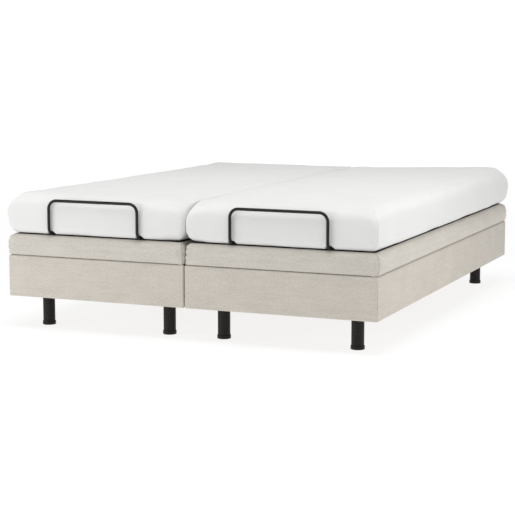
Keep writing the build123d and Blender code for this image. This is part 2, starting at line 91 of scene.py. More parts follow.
class Shader:
    """A material's node tree, built a node at a time."""

    def __init__(self, name):
        self.material = bpy.data.materials.new(name)
        self.material.use_nodes = True
        self.tree = self.material.node_tree
        self.principled = self.tree.nodes["Principled BSDF"]

    def node(self, kind, inputs=None, **settings):
        made = self.tree.nodes.new("ShaderNode" + kind)
        for name, value in settings.items():
            setattr(made, name, value)
        for name, value in (inputs or {}).items():
            self.put(made.inputs[name], value)
        return made

    def put(self, socket, value):
        if isinstance(value, bpy.types.NodeSocket):
            self.tree.links.new(value, socket)
        else:
            socket.default_value = value

    def math(self, operation, a, b=0.0, c=0.0):
        return self.node("Math", {0: a, 1: b, 2: c}, operation=operation).outputs[0]

    def ramp(self, value, low, high, to_low=0.0, to_high=1.0):
        """value, with low to high stretched to to_low to to_high, and held beyond them."""
        made = self.node("MapRange", {"Value": value, "From Min": low, "From Max": high,
                                      "To Min": to_low, "To Max": to_high})
        return made.outputs["Result"]

    def mix(self, share, a, b):
        """Colour a where share is 0, colour b where it is 1."""
        made = self.node("Mix", data_type="RGBA")
        self.put(made.inputs[0], share)
        self.put(made.inputs[6], a)
        self.put(made.inputs[7], b)
        return made.outputs[2]

    def place(self, coordinates, scale):
        found = self.node("TexCoord").outputs[coordinates]
        return self.node("Mapping", {"Vector": found, "Scale": scale}).outputs[0]

    def object_place(self, scale=(1, 1, 1)):
        return self.place("Object", scale)

    def cloth_place(self, scale=(1, 1, 1)):
        """The place on the cloth in metres, which the soft pieces carry as their UV map."""
        return self.place("UV", scale)

    def noise(self, place, scale, detail=3.0, roughness=0.5):
        return self.node("TexNoise", {"Vector": place, "Scale": scale, "Detail": detail,
                                      "Roughness": roughness}).outputs["Fac"]

    def bump(self, height, distance, strength=1.0, normal=None):
        inputs = {"Height": height, "Distance": distance, "Strength": strength}
        if normal is not None:
            inputs["Normal"] = normal
        return self.node("Bump", inputs).outputs["Normal"]

    def surface(self, **inputs):
        """The finished material; _ stands for a space in the shader's input names."""
        for name, value in inputs.items():
            self.put(self.principled.inputs[name.replace("_", " ")], value)
        return self.material


def colour(red, green, blue):
    """A shader colour from 0 to 255 screen values."""
    def linear(v):
        v /= 255
        return v / 12.92 if v <= 0.04045 else ((v + 0.055) / 1.055) ** 2.4
    return (linear(red), linear(green), linear(blue), 1.0)


def lighter(tint, times, plus=0.0):
    return tuple(min(1.0, times * c + plus) for c in tint[:3]) + (1,)


# ---- Materials -----------------------------------------------------------------------------

def chenille(name, dark, light):
    """Soft upholstery with a short pile: mottled, with faint streaks along the weft."""
    s = Shader(name)
    place = s.cloth_place()
    streaks = s.noise(s.cloth_place(scale=(9, 70, 1)), 1.0, 5.0, 0.6)
    cloudy = s.noise(place, 7.0, 3.0, 0.55)
    tufts = s.noise(place, 130.0, 4.0, 0.75)
    pile = s.noise(place, 520.0, 4.0, 0.7)
    weft = s.node("TexWave", {"Vector": place, "Scale": 260.0, "Distortion": 3.0, "Detail": 2.0,
                              "Detail Scale": 2.0}, bands_direction="Y").outputs["Fac"]
    warp = s.node("TexWave", {"Vector": place, "Scale": 180.0, "Distortion": 2.0, "Detail": 2.0,
                              "Detail Scale": 2.0}, bands_direction="X").outputs["Fac"]
    tone = s.math("MULTIPLY_ADD", streaks, 0.16, s.math("MULTIPLY", cloudy, 0.14))
    tone = s.math("MULTIPLY_ADD", tufts, 0.40, tone)
    tone = s.math("MULTIPLY_ADD", pile, 0.30, tone)
    weave = s.math("MULTIPLY", weft, warp)
    height = s.math("MULTIPLY_ADD", weave, 0.4, s.math("MULTIPLY_ADD", tufts, 0.6, pile))
    base = s.mix(s.ramp(tone, 0.39, 0.61), dark, light)
    fine = s.bump(height, 0.0006, 0.55)
    normal = s.bump(streaks, 0.0008, 0.25, fine)
    return s.surface(Base_Color=base, Roughness=s.ramp(pile, 0.3, 0.7, 0.88, 0.98), Normal=normal,
                     Sheen_Weight=0.35, Sheen_Roughness=0.45, Sheen_Tint=light,
                     Specular_IOR_Level=0.2)


def white_knit(name):
    """Stretch knit of the mattress cover: fine ribs, almost white."""
    s = Shader(name)
    place = s.cloth_place()
    ribs = s.node("TexWave", {"Vector": place, "Scale": 150.0, "Distortion": 0.6, "Detail": 1.0,
                              "Detail Scale": 3.0}, bands_direction="X").outputs["Fac"]
    loops = s.node("TexWave", {"Vector": place, "Scale": 210.0, "Distortion": 0.8, "Detail": 1.0,
                               "Detail Scale": 3.0}, bands_direction="Y").outputs["Fac"]
    fuzz = s.noise(place, 500.0, 3.0, 0.7)
    cloudy = s.noise(place, 5.0, 2.0, 0.5)
    knit = s.math("MULTIPLY", ribs, loops)
    height = s.math("MULTIPLY_ADD", fuzz, 0.4, knit)
    shade = s.math("MULTIPLY_ADD", cloudy, 0.5, s.math("MULTIPLY", knit, 0.35))
    base = s.mix(s.ramp(shade, 0.1, 0.7), (0.715, 0.716, 0.704, 1), (0.782, 0.783, 0.772, 1))
    return s.surface(Base_Color=base, Roughness=s.ramp(fuzz, 0.3, 0.7, 0.85, 0.95),
                     Normal=s.bump(height, 0.0004, 0.5), Sheen_Weight=0.2, Sheen_Roughness=0.5,
                     Specular_IOR_Level=0.2)


def non_slip(name):
    """Black deck top cloth with small raised rubber dots."""
    s = Shader(name)
    place = s.cloth_place()
    dots = s.node("TexVoronoi", {"Vector": place, "Scale": 160.0, "Randomness": 0.15})
    raised = s.ramp(dots.outputs["Distance"], 0.42, 0.22)
    fuzz = s.noise(place, 600.0, 3.0, 0.6)
    base = s.mix(raised, s.mix(fuzz, (0.010, 0.010, 0.010, 1), (0.028, 0.027, 0.026, 1)),
                 (0.016, 0.016, 0.016, 1))
    height = s.math("MULTIPLY_ADD", fuzz, 0.3, raised)
    return s.surface(Base_Color=base, Roughness=s.ramp(raised, 0.0, 1.0, 0.95, 0.55),
                     Normal=s.bump(height, 0.0006, 0.6), Specular_IOR_Level=0.25)


def wood(name, dark, light):
    """Sawn softwood: long grain with rings and a few pores."""
    s = Shader(name)
    along = (1.2, 18, 18)
    place = s.object_place(scale=along)
    warped = s.noise(place, 1.2, 4.0, 0.6)
    rings = s.node("TexWave", {"Vector": place, "Scale": 1.6, "Distortion": 6.0, "Detail": 3.0,
                               "Detail Scale": 1.4}, wave_type="RINGS").outputs["Fac"]
    fibre = s.noise(s.object_place(scale=tuple(8 * a for a in along)), 3.0, 4.0, 0.65)
    grain = s.math("MULTIPLY_ADD", rings, 0.55, s.math("MULTIPLY", warped, 0.45))
    base = s.mix(s.ramp(grain, 0.2, 0.8), dark, light)
    base = s.mix(s.math("MULTIPLY", fibre, 0.35), base, dark)
    height = s.math("MULTIPLY_ADD", fibre, 0.6, s.math("MULTIPLY", grain, 0.3))
    return s.surface(Base_Color=base, Roughness=s.ramp(fibre, 0.3, 0.7, 0.55, 0.75),
                     Normal=s.bump(height, 0.0007, 0.4))


def plywood(name):
    """Birch plywood: face veneer on the flat sides and dark and light plies on the edges."""
    s = Shader(name)
    place = s.object_place(scale=(16, 1.1, 30))
    veneer = s.noise(place, 1.6, 5.0, 0.6)
    figure = s.node("TexWave", {"Vector": place, "Scale": 0.8, "Distortion": 9.0, "Detail": 3.0,
                                "Detail Scale": 1.2}, bands_direction="X").outputs["Fac"]
    face = s.mix(s.math("MULTIPLY_ADD", figure, 0.4, s.math("MULTIPLY", veneer, 0.6)),
                 (0.40, 0.26, 0.14, 1), (0.66, 0.49, 0.31, 1))
    coords = s.node("TexCoord")
    height_z = s.node("SeparateXYZ", {0: coords.outputs["Object"]}).outputs["Z"]
    plies = s.math("PINGPONG", s.math("MULTIPLY", height_z, 440.0), 1.0)
    fibres = s.noise(s.object_place(scale=(60, 60, 900)), 1.0, 3.0, 0.7)
    edge = s.mix(s.ramp(plies, 0.35, 0.65), (0.22, 0.13, 0.07, 1), (0.60, 0.44, 0.28, 1))
    edge = s.mix(s.math("MULTIPLY", fibres, 0.35), edge, (0.30, 0.19, 0.11, 1))
    normal_z = s.node("SeparateXYZ", {0: coords.outputs["Normal"]}).outputs["Z"]
    flat = s.ramp(s.math("ABSOLUTE", normal_z), 0.5, 0.8)
    height = s.math("ADD", veneer, s.math("MULTIPLY", plies, 0.3))
    return s.surface(Base_Color=s.mix(flat, edge, face), Normal=s.bump(height, 0.0005, 0.35),
                     Roughness=s.ramp(veneer, 0.3, 0.7, 0.5, 0.7))


def worn_edges(s, base, bright, amount, radius=0.0015):
    """base with its sharp outer edges rubbed to bright."""
    bevelled = s.node("Bevel", {"Radius": radius}, samples=4).outputs["Normal"]
    straight = s.node("NewGeometry").outputs["Normal"]
    turned = s.node("VectorMath", {0: bevelled, 1: straight}, operation="DOT_PRODUCT")
    edge = s.ramp(turned.outputs["Value"], 0.98, 0.80)
    patches = s.noise(s.object_place(), 60.0, 4.0, 0.7)
    share = s.math("MULTIPLY", edge, s.ramp(patches, 0.45, 0.62, 0.0, amount))
    return s.mix(share, base, bright)


def powder_coat(name, tint, bright, metallic, roughness=(0.42, 0.58), speckle=0.0, wear=0.35,
                gloss=0.5):
    """Powder coated or plated steel: orange peel, light specks, and edges worn to bright."""
    s = Shader(name)
    place = s.object_place()
    peel = s.noise(place, 900.0, 3.0, 0.55)
    patchy = s.noise(place, 14.0, 4.0, 0.6)
    base = s.mix(s.ramp(patchy, 0.3, 0.7), tint, lighter(tint, 1.35))
    if speckle:
        flecks = s.node("TexVoronoi", {"Vector": place, "Scale": 420.0}).outputs["Distance"]
        some = s.ramp(s.noise(place, 260.0, 2.0, 0.6), 0.50, 0.60, 0.0, speckle)
        share = s.math("MULTIPLY", s.ramp(flecks, 0.26, 0.16), some)
        base = s.mix(share, base, bright)
    base = worn_edges(s, base, bright, wear)
    return s.surface(Base_Color=base, Metallic=metallic, Normal=s.bump(peel, 0.0004, 0.5),
                     Roughness=s.ramp(patchy, 0.3, 0.7, *roughness), Specular_IOR_Level=gloss)


def moulded(name, tint, roughness=(0.45, 0.6), subsurface=0.0, gloss=0.5):
    """Moulded plastic with a fine spark-eroded grain and faint flow marks."""
    s = Shader(name)
    place = s.object_place()
    fine = s.noise(place, 1500.0, 3.0, 0.6)
    flow = s.noise(s.object_place(scale=(3, 20, 8)), 2.0, 3.0, 0.6)
    rubbed = lighter(tint, 1.25, 0.004)
    base = s.mix(s.ramp(flow, 0.35, 0.7), tint, rubbed)
    base = worn_edges(s, base, rubbed, 0.5, 0.001)
    return s.surface(Base_Color=base, Roughness=s.ramp(flow, 0.3, 0.7, *roughness),
                     Normal=s.bump(fine, 0.0002, 0.45), Subsurface_Weight=subsurface,
                     Subsurface_Scale=0.004, Specular_IOR_Level=gloss)


def rubber(name):
    """Black rubber, dusty in its pores."""
    s = Shader(name)
    pores = s.noise(s.object_place(), 700.0, 4.0, 0.7)
    base = s.mix(s.ramp(pores, 0.4, 0.65), (0.012, 0.012, 0.012, 1), (0.035, 0.034, 0.032, 1))
    return s.surface(Base_Color=base, Roughness=s.ramp(pores, 0.3, 0.7, 0.75, 0.92),
                     Normal=s.bump(pores, 0.0004, 0.5))


PLAIN_STEEL, WORN_STEEL = (0.36, 0.36, 0.37, 1), (0.62, 0.62, 0.63, 1)
MATERIALS = {
    "box_fabric": chenille("box_fabric", colour(181, 175, 166), colour(210, 204, 195)),
    # The deck is the same chenille as the box. Its colours are a little lighter as painted light.
    "deck_fabric": chenille("deck_fabric", colour(183, 178, 169), colour(212, 207, 199)),
    "mattress_fabric": white_knit("mattress_fabric"),
    "non_slip": non_slip("non_slip"),
    "board": wood("board", (0.34, 0.21, 0.11, 1), (0.62, 0.44, 0.26, 1)),
    "plywood": plywood("plywood"),
    "frame_steel": powder_coat("frame_steel", (0.020, 0.020, 0.021, 1), (0.30, 0.30, 0.30, 1), 0.0),
    "lift_steel": powder_coat("lift_steel", PLAIN_STEEL, WORN_STEEL, 0.9, (0.30, 0.45)),
    "retainer_steel": powder_coat("retainer_steel", (0.0055, 0.005, 0.0045, 1),
                                  (0.16, 0.15, 0.14, 1), 0.0, (0.30, 0.42), speckle=0.3, wear=0.2,
                                  gloss=0.28),
    "leg_metal": powder_coat("leg_metal", (0.0045, 0.0040, 0.0034, 1), (0.30, 0.29, 0.27, 1), 0.0,
                             (0.40, 0.55), speckle=0.45, wear=0.15, gloss=0.22),
    "link_steel": powder_coat("link_steel", (0.46, 0.46, 0.45, 1), (0.75, 0.75, 0.74, 1), 1.0,
                              (0.25, 0.42)),
    "cap_plastic": moulded("cap_plastic", (0.004, 0.0035, 0.003, 1), roughness=(0.34, 0.45),
                           gloss=0.22),
    "clamp_plastic": moulded("clamp_plastic", (0.008, 0.0075, 0.007, 1), gloss=0.3),
    "roller_nylon": moulded("roller_nylon", (0.74, 0.73, 0.69, 1), subsurface=0.1),
    "drive_plastic": moulded("drive_plastic", (0.045, 0.047, 0.05, 1)),
    "inlet_plastic": moulded("inlet_plastic", (0.012, 0.012, 0.012, 1), roughness=(0.3, 0.45)),
    "slider_plastic": moulded("slider_plastic", (0.50, 0.49, 0.46, 1)),
    "buffer_rubber": rubber("buffer_rubber"),
}


# ---- The CAD nodes that stay as they are ---------------------------------------------------

NODE_SLOTS = {
    "box_boards": "board", "corner_blocks": "board", "legs": "leg_metal", "leg_caps": "cap_plastic",
    "carrier_frame": "frame_steel", "drive_housing": "drive_plastic", "back_rails": "frame_steel",
    "thigh_rails": "frame_steel", "calf_rails": "frame_steel", "back_lift_shaft": "lift_steel",
    "thigh_lift_shaft": "lift_steel", "back_lift_rollers": "roller_nylon",
    "thigh_lift_rollers": "roller_nylon", "back_slider": "slider_plastic",
    "thigh_slider": "slider_plastic", "retainer_bar": "retainer_steel",
    "bar_clamps": "clamp_plastic", "rest_buffers": "buffer_rubber",
    "mains_inlets": "inlet_plastic", "link_plates": "link_steel",
    "calf_panel": "plywood", "thigh_panel": "plywood", "seat_panel": "plywood",
    "back_panel": "plywood",
}


def dress_cad_nodes():
    for name, node in NODES.items():
        kind = name.removeprefix("left_").removeprefix("right_")
        if kind not in NODE_SLOTS:
            continue
        material = MATERIALS[NODE_SLOTS[kind]]
        if not node.data.materials:
            node.data.materials.append(material)
        for slot in node.material_slots:
            slot.material = material


# ---- Mesh helpers --------------------------------------------------------------------------

LINE_GROWTH = 1.35


def graded(low, high, fine, coarse, marks=()):
    """Grid lines from low to high, fine at both ends, and through every mark between."""
    reach, step, near_end = 0.0, fine, []
    while step < coarse:
        reach += step
        near_end.append(reach)
        step *= LINE_GROWTH
    between = sorted(m for m in marks if low + reach < m < high - reach)
    stops = [low + reach, *between, high - reach]
    middle = []
    for a, b in zip(stops, stops[1:]):
        middle += list(np.linspace(a, b, max(1, math.ceil((b - a) / coarse)), endpoint=False))
    ends = [low] + [low + e for e in near_end[:-1]]
    far = [high - e for e in reversed(near_end)] + [high]
    return np.array(ends + middle + far)


def grid_box(xs, ys, zs):
    """The surface of a box: its points, its quads, and the cloth place of each quad's corners."""
    lines, index, points, quads, places = (xs, ys, zs), {}, [], [], []

    def corner(key):
        if key not in index:
            index[key] = len(points)
            points.append([lines[axis][key[axis]] for axis in range(3)])
        return index[key]

    for axis in range(3):
        u, v = (axis + 1) % 3, (axis + 2) % 3
        for end in (0, len(lines[axis]) - 1):
            for a in range(len(lines[u]) - 1):
                for b in range(len(lines[v]) - 1):
                    keys = []
                    for da, db in ((0, 0), (1, 0), (1, 1), (0, 1)):
                        key = [0, 0, 0]
                        key[axis], key[u], key[v] = end, a + da, b + db
                        keys.append(tuple(key))
                    if end == 0:
                        keys.reverse()
                    quads.append([corner(k) for k in keys])
                    p, q = (u, v) if axis != 1 else (v, u)
                    places += [(lines[p][k[p]], lines[q][k[q]]) for k in keys]
    return np.array(points), quads, np.array(places)


def add_object(name, data):
    made = bpy.data.objects.new(name, data)
    bpy.context.scene.collection.objects.link(made)
    return made


def new_piece(name, points, faces, places, material):
    mesh = bpy.data.meshes.new(name)
    mesh.from_pydata([tuple(p) for p in points], [], faces)
    mesh.uv_layers.new(name="cloth").data.foreach_set("uv", np.asarray(places, np.float32).ravel())
    mesh.materials.append(MATERIALS[material])
    mesh.shade_smooth()
    return add_object(name, mesh)


def points_of(piece):
    points = np.empty(len(piece.data.vertices) * 3, np.float32)
    piece.data.vertices.foreach_get("co", points)
    return points.reshape(-1, 3).astype(float)


def normals_of(piece):
    normals = np.empty(len(piece.data.vertices) * 3, np.float32)
    piece.data.vertex_normals.foreach_get("vector", normals)
    return normals.reshape(-1, 3).astype(float)


def move_points(piece, points):
    piece.data.vertices.foreach_set("co", np.asarray(points, np.float32).ravel())
    piece.data.update()


def set_weights(piece, name, weights):
    attribute = piece.data.attributes.new(name, "FLOAT", "POINT")
    attribute.data.foreach_set("value", np.asarray(weights, np.float32))


def weights_of(piece, name):
    weights = np.empty(len(piece.data.vertices), np.float32)
    piece.data.attributes[name].data.foreach_get("value", weights)
    return weights.astype(float)


def evaluated_mesh(piece):
    shown = piece.evaluated_get(bpy.context.evaluated_depsgraph_get())
    return bpy.data.meshes.new_from_object(shown)


def bake_modifiers(piece):
    mesh = evaluated_mesh(piece)
    piece.modifiers.clear()
    old, piece.data = piece.data, mesh
    bpy.data.meshes.remove(old)


def subdivide(piece):
    modifier = piece.modifiers.new("smooth", "SUBSURF")
    modifier.levels = modifier.render_levels = 1
    bake_modifiers(piece)


def smooth_step(value, low, high):
    """0 at low and before, 1 at high and beyond; low may be the larger."""
    t = np.clip((value - low) / (high - low), 0, 1)
    return t * t * (3 - 2 * t)


def fractal(points, wavelength, seed):
    """Smooth noise from about -1 to 1 at each point; wavelength may differ along the axes."""
    scaled = points / np.asarray(wavelength) + seed * 7.31
    return np.array([noise.fractal(Vector(p), 1.0, 2.0, 3) for p in scaled])


def round_rim(inset, near, r):
    """Where a point at this inset and this distance from a flat end goes, on a rim of radius r."""
    a, b = r - inset, r - near
    inside = (a > 0) & (b > 0)
    share = np.maximum(a, b) / np.maximum(np.hypot(a, b), 1e-9)
    return np.where(inside, r - a * share, inset), np.where(inside, r - b * share, near)


def round_box(points, half, low_z, high_z, corner_at, corner_r, low_r, high_r, scale=1.0):
    """Turns the points of a box into a slab with round plan corners and round rims.

    The corners have radius corner_r, times scale, at the heights corner_at."""
    x, y, z = points.T
    inset = np.minimum(half[0] - np.abs(x), half[1] - np.abs(y))
    radius = np.interp(z, corner_at, corner_r) * scale
    new_inset, near = round_rim(inset, z - low_z, low_r)
    new_z = low_z + near
    new_inset, near = round_rim(new_inset, high_z - new_z, high_r)
    new_z = high_z - near
    move = new_inset - inset
    dx, dy = np.abs(x) - (half[0] - radius), np.abs(y) - (half[1] - radius)
    corner = (dx > 0) & (dy > 0)
    reach = (np.maximum(dx, dy) - move) / np.maximum(np.hypot(dx, dy), 1e-9)
    side_x = half[0] - np.abs(x) <= half[1] - np.abs(y)
    px = np.where(corner, half[0] - radius + dx * reach, np.abs(x) - np.where(side_x, move, 0))
    py = np.where(corner, half[1] - radius + dy * reach, np.abs(y) - np.where(side_x, 0, move))
    return np.column_stack([px * np.sign(x), py * np.sign(y), new_z])


def edge_inset(points, low, high):
    """How far inside the plan outline from low to high each point lies, about x = 0."""
    return np.minimum(HALF_WIDTH - np.abs(points[:, 0]),
                      np.minimum(points[:, 1] - low.y, high.y - points[:, 1]))


PRESSURE, PRESSURE_FRAMES = 4.0, 20


def swell(piece, pinned, cap, sink):
    """Cloth under inner pressure, held where pinned is 1, moved at most cap out or sink in."""
    start, outward = points_of(piece), normals_of(piece)
    group = piece.vertex_groups.new(name="pinned")
    for index, weight in enumerate(pinned):
        if weight > 0:
            group.add([index], float(weight), "REPLACE")
    cloth = piece.modifiers.new("cloth", "CLOTH")
    settings = cloth.settings
    settings.quality = 5
    settings.mass = 0.3
    settings.tension_stiffness = settings.compression_stiffness = 12
    settings.shear_stiffness = 6
    settings.bending_stiffness = 0.6
    settings.use_pressure = True
    settings.uniform_pressure_force = PRESSURE
    settings.effector_weights.gravity = 0
    settings.vertex_group_mass = group.name
    cloth.collision_settings.use_collision = False
    cloth.point_cache.frame_start, cloth.point_cache.frame_end = 1, PRESSURE_FRAMES
    for number in range(1, PRESSURE_FRAMES + 1):
        bpy.context.scene.frame_set(number)
    mesh = evaluated_mesh(piece)
    end = np.empty(len(start) * 3, np.float32)
    mesh.vertices.foreach_get("co", end)
    bpy.data.meshes.remove(mesh)
    piece.modifiers.clear()
    piece.vertex_groups.clear()
    bpy.context.scene.frame_set(1)
    moved = end.reshape(-1, 3) - start
    length = np.linalg.norm(moved, axis=1)
    moved *= (cap * np.tanh(length / cap) / np.maximum(length, 1e-9))[:, None]
    out = np.sum(moved * outward, axis=1)
    moved += outward * (np.maximum(out, -sink) - out)[:, None]
    move_points(piece, start + moved)


# ---- Soft pieces on the deck ---------------------------------------------------------------

# Fine and coarse grid steps across, along and up, before the subdivision.
MATTRESS_STEPS = ((0.004, 0.026), (0.004, 0.024), (0.008, 0.014))
DECK_STEPS = ((0.004, 0.030), (0.004, 0.024), (0.006, 0.010))


def along_y(low, high, fine, coarse):
    """Grid lines along the bed, through the places where the soft pieces are cut."""
    middle = (low + high) / 2
    lines = graded(low - middle, high - middle, fine, coarse,
                   marks=(THIGH_CUT - middle, SEAT_CUT - middle))
    return lines, middle


def is_corner_line(points, half):
    """Which points lie on the four upright corners, where the covers are sewn."""
    return ((np.abs(np.abs(points[:, 0]) - half[0]) < 1e-6)
            & (np.abs(np.abs(points[:, 1]) - half[1]) < 1e-6))


EDGE_ROOM = 0.001       # the forms start this much inside the outline, because the cloth swells,
MATTRESS_SWELL = 0.006  # and the mattress's top this much lower
MATTRESS_SEAM, MATTRESS_WAVE = 0.0024, 0.008    # how deep the seams are, how high the edge waves
JOINT_PRESS, JOINT_ROOM = 0.004, 0.0017         # inner side: pressed out, but no further than this


def mattress_form():
    """One mattress about x = 0, before its seams and unevenness; x grows towards the outside."""
    low_z, high_z = MATTRESS_LOW.z, MATTRESS_HIGH.z - MATTRESS_SWELL
    half = (HALF_WIDTH - EDGE_ROOM, (MATTRESS_HIGH.y - MATTRESS_LOW.y) / 2 - EDGE_ROOM)
    at_clamps = [sign * (CLAMP_X + step) for sign in (-1, 1)
                 for step in (-0.028, -0.018, -0.012, 0.012, 0.018, 0.028)]
    across, along, up = MATTRESS_STEPS
    xs = graded(-half[0], half[0], *across, marks=at_clamps)
    ys, middle = along_y(MATTRESS_LOW.y + EDGE_ROOM, MATTRESS_HIGH.y - EDGE_ROOM, *along)
    zs = graded(low_z, high_z, *up)
    points, quads, places = grid_box(xs, ys, zs)
    inset = np.minimum(half[0] - np.abs(points[:, 0]), half[1] - np.abs(points[:, 1]))
    # The bottom is held, except near its edge.
    held = (points[:, 2] < low_z + 1e-6) & (inset > 0.028)
    seam = is_corner_line(points, half) * smooth_step(points[:, 2], high_z - 0.022, high_z - 0.050)
    waist = low_z + 0.45 * (high_z - low_z)
    # The inner side's top rim is tight where the mattresses press together, and round at the foot.
    inner = smooth_step(-points[:, 0], half[0] - 0.10, half[0] - 0.06)
    from_foot = points[:, 1] + half[1]
    top_rim = 0.050 - 0.044 * inner * smooth_step(from_foot, 0.02, 0.16)
    low_rim = 0.025 + 0.020 * inner * (1 - smooth_step(from_foot, 0.03, 0.15))
    # The two inner corners: tight at the head, wider at the foot.
    scale = np.where(points[:, 0] > 0, 1.0, np.where(points[:, 1] > 0, 0.4, 1.15))
    shaped = round_box(points, half, low_z, high_z, [low_z, waist, waist + 0.02, high_z],
                       [0.032, 0.020, 0.020, 0.070], low_rim, top_rim, scale)
    shaped[:, 1] += middle
    piece = new_piece("mattress_form", shaped, quads, places, "mattress_fabric")
    set_weights(piece, "seam", seam)
    swell(piece, held, cap=0.010, sink=0.002)
    subdivide(piece)
    return piece


def finish_mattress(points, normals, seam, seed, crown, bulge):
    """Seams, soft unevenness, and room for the neighbours.

    crown and bulge say how much the outer side stands up and out, at the foot and at the head."""
    low_z, high_z = MATTRESS_LOW.z, MATTRESS_HIGH.z
    height = (points[:, 2] - low_z) / (high_z - low_z)
    free = smooth_step(height, 0.02, 0.25)
    uneven = fractal(points, (0.35, 0.35, 0.25), seed) * 0.0022
    small = fractal(points, (0.11, 0.11, 0.07), seed + 3) * 0.0008
    # Small folds fan out from the lower ends of the corner seams at the foot.
    foot = np.array([HALF_WIDTH, MATTRESS_LOW.y, low_z + 0.012])
    away = points - foot
    away[:, 0] = np.abs(points[:, 0]) - foot[0]
    far = np.linalg.norm(away, axis=1)
    fan = np.sin(np.arctan2(away[:, 2], np.abs(away[:, 0]) + np.abs(away[:, 1]) + 1e-4) * 9)
    ruffle = 0.0016 * fan * np.exp(-(far / 0.035) ** 2)
    points = points + normals * ((uneven + small) * free + ruffle - MATTRESS_SEAM * seam)[:, None]
    x, y, z = points.T
    waist = np.sin(np.pi * np.clip(height, 0, 1))
    ends = (MATTRESS_LOW.y + 0.05, MATTRESS_HIGH.y - 0.2)
    # The outer side bulges; the inner side is pressed flat against the other mattress.
    x = np.where(x > 0, x + np.interp(y, ends, bulge) * waist * smooth_step(x, 0.25, 0.39), x)
    x = x - JOINT_PRESS * smooth_step(-x, HALF_WIDTH - 0.06, HALF_WIDTH - 0.02)
    x = np.maximum(x, -(HALF_WIDTH + JOINT_ROOM))
    y = np.maximum(y, BAR_LOW.y + BAR_THICKNESS + 0.0005)
    z = z + np.interp(y, ends, crown) * height * smooth_step(x, -0.4, 0.4)
    # The lower edge waves a little, and lies over the two bar clamps.
    edge = 1 - smooth_step(edge_inset(points, MATTRESS_LOW, MATTRESS_HIGH), 0.012, 0.030)
    wave = np.maximum(0, fractal(points * [1, 1, 0], (0.30, 0.30, 1), seed + 9)) * MATTRESS_WAVE
    z = z + wave * edge * (1 - smooth_step(height, 0.05, 0.35))
    for sign in (-1, 1):
        from_clamp = np.abs(x - sign * CLAMP_X) - CLAMP_WIDTH / 2
        across = 1 - smooth_step(from_clamp, 0, 0.007)
        along = 1 - smooth_step(y, CLAMP_HIGH.y + 0.004, CLAMP_HIGH.y + 0.05)
        z = np.maximum(z, low_z + (CLAMP_HIGH.z + 0.002 - low_z) * across * along)
    return np.column_stack([x, y, z])


DECK_SEAM, DECK_WAVE, DECK_HEM = 0.0030, 0.007, 0.0027
DECK_BULGE, DECK_ROOM = 0.007, 0.0012


def with_pocket_lines(lines, edge, middle):
    """Grid lines with two close ones just outside each edge of the panels' pocket."""
    kept = lines[(np.abs(np.abs(lines + middle) - edge) > 0.003)]
    return np.sort(np.append(kept, np.array([-edge - 0.002, -edge - 0.0006,
                                             edge + 0.0006, edge + 0.002]) - middle))


def deck_form():
    """One unit's deck upholstery about x = 0, before its seams, creases and panel pocket."""
    low_z, high_z = DECK_LOW.z, DECK_HIGH.z
    half = (HALF_WIDTH - EDGE_ROOM, (DECK_HIGH.y - DECK_LOW.y) / 2 - EDGE_ROOM)
    across, along, up = DECK_STEPS
    xs = with_pocket_lines(graded(-half[0], half[0], *across), POCKET_X, 0)
    ys, middle = along_y(DECK_LOW.y + EDGE_ROOM, DECK_HIGH.y - EDGE_ROOM, *along)
    ys = with_pocket_lines(ys, POCKET_Y, middle)
    zs = graded(low_z, high_z, *up)
    points, quads, places = grid_box(xs, ys, zs)
    inset = np.minimum(half[0] - np.abs(points[:, 0]), half[1] - np.abs(points[:, 1]))
    # The bottom is held, and the top where the mattress lies on it.
    bottom, top = points[:, 2] < low_z + 1e-6, points[:, 2] > high_z - 1e-6
    held = bottom | (top & (inset > 0.040))
    shaped = round_box(points, half, low_z, high_z, [low_z, high_z - 0.03, high_z],
                       [0.008, 0.014, 0.024], 0.010, 0.024)
    shaped[:, 1] += middle
    piece = new_piece("deck_form", shaped, quads, places, "deck_fabric")
    set_weights(piece, "seam", is_corner_line(points, half))
    set_weights(piece, "inside", np.where(top, inset, 0))
    swell(piece, held, cap=0.006, sink=0.001)
    subdivide(piece)
    return piece


